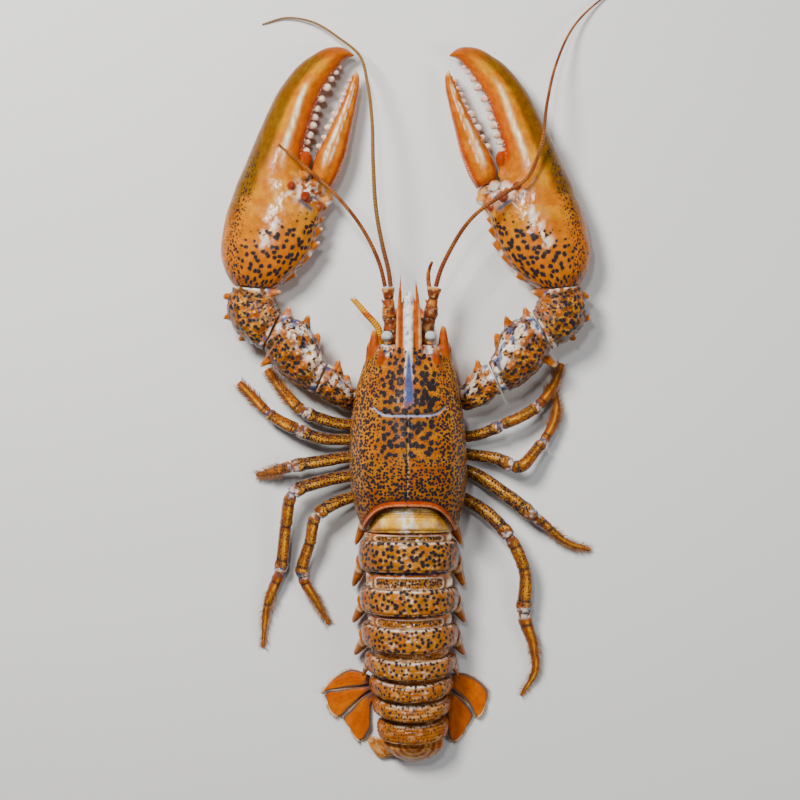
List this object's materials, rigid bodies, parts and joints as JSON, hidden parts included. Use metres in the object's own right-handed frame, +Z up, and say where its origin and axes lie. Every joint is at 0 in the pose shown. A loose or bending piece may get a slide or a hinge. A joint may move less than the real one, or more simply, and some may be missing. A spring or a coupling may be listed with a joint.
{
  "type": "cooked lobster",
  "caption": "Whole cooked lobster in its orange-gold spotted shell, lying on its belly with its claws held forward and its antennae swept out.",
  "frame": {"origin": "centre line of the flat belly plate, on the surface that the lobster lies on, under the middle of the carapace", "axes": "+Y towards the head and claws, +Z up, +X to the right as seen from above with the head away"},
  "size_m": [0.2105, 0.4145, 0.0483],
  "materials": {
    "shell": "glossy cooked shell, orange-gold with blue-black spots",
    "claw_shell": "glossy cooked shell, gold with an orange-red biting side and dark spots",
    "leg_shell": "satin cooked shell, gold with dark speckles",
    "feeler": "satin brown-red, finely ringed",
    "tail_fan": "satin orange with blue seams and a pale fringe",
    "eye": "glossy pearl grey",
    "belly": "satin pale orange"
  },
  "bodies": {
    "root": {"carapace": "shell", "telson": "shell", "tail_segment_1": "shell", "tail_segment_2": "shell", "tail_segment_3": "shell", "tail_segment_4": "shell", "tail_segment_5": "shell", "tail_segment_6": "shell", "tail_segment_7": "shell", "tail_segment_8": "shell", "claw_left": "claw_shell", "claw_right": "claw_shell", "claw_finger_left": "claw_shell", "claw_finger_right": "claw_shell", "wrist_left": "claw_shell", "wrist_right": "claw_shell", "upper_arm_left": "claw_shell", "upper_arm_right": "claw_shell", "arm_base_left": "claw_shell", "arm_base_right": "claw_shell", "leg_left_1_upper": "leg_shell", "leg_left_1_lower": "leg_shell", "leg_left_2_upper": "leg_shell", "leg_left_2_shin": "leg_shell", "leg_left_2_tip": "leg_shell", "leg_left_3_upper": "leg_shell", "leg_left_3_lower": "leg_shell", "leg_left_4_upper": "leg_shell", "leg_left_4_shin": "leg_shell", "leg_left_4_tip": "leg_shell", "leg_left_5_upper": "leg_shell", "leg_left_5_shin": "leg_shell", "leg_left_5_tip": "leg_shell", "leg_right_1_upper": "leg_shell", "leg_right_1_shin": "leg_shell", "leg_right_1_tip": "leg_shell", "leg_right_2_upper": "leg_shell", "leg_right_2_shin": "leg_shell", "leg_right_2_tip": "leg_shell", "leg_right_3_upper": "leg_shell", "leg_right_3_lower": "leg_shell", "leg_right_4_upper": "leg_shell", "leg_right_4_shin": "leg_shell", "leg_right_4_tip": "leg_shell", "antenna_base_left": "feeler", "antenna_base_right": "feeler", "antenna_left_long": "feeler", "antenna_left_short": "feeler", "antenna_right_long": "feeler", "feeler_left": "feeler", "mouthparts": "feeler", "tail_fan_left_1": "tail_fan", "tail_fan_left_2": "tail_fan", "tail_fan_left_3": "tail_fan", "tail_fan_right_1": "tail_fan", "tail_fan_right_2": "tail_fan", "eye_left": "eye", "eye_right": "eye", "sternum": "belly"}
  },
  "joints": []
}
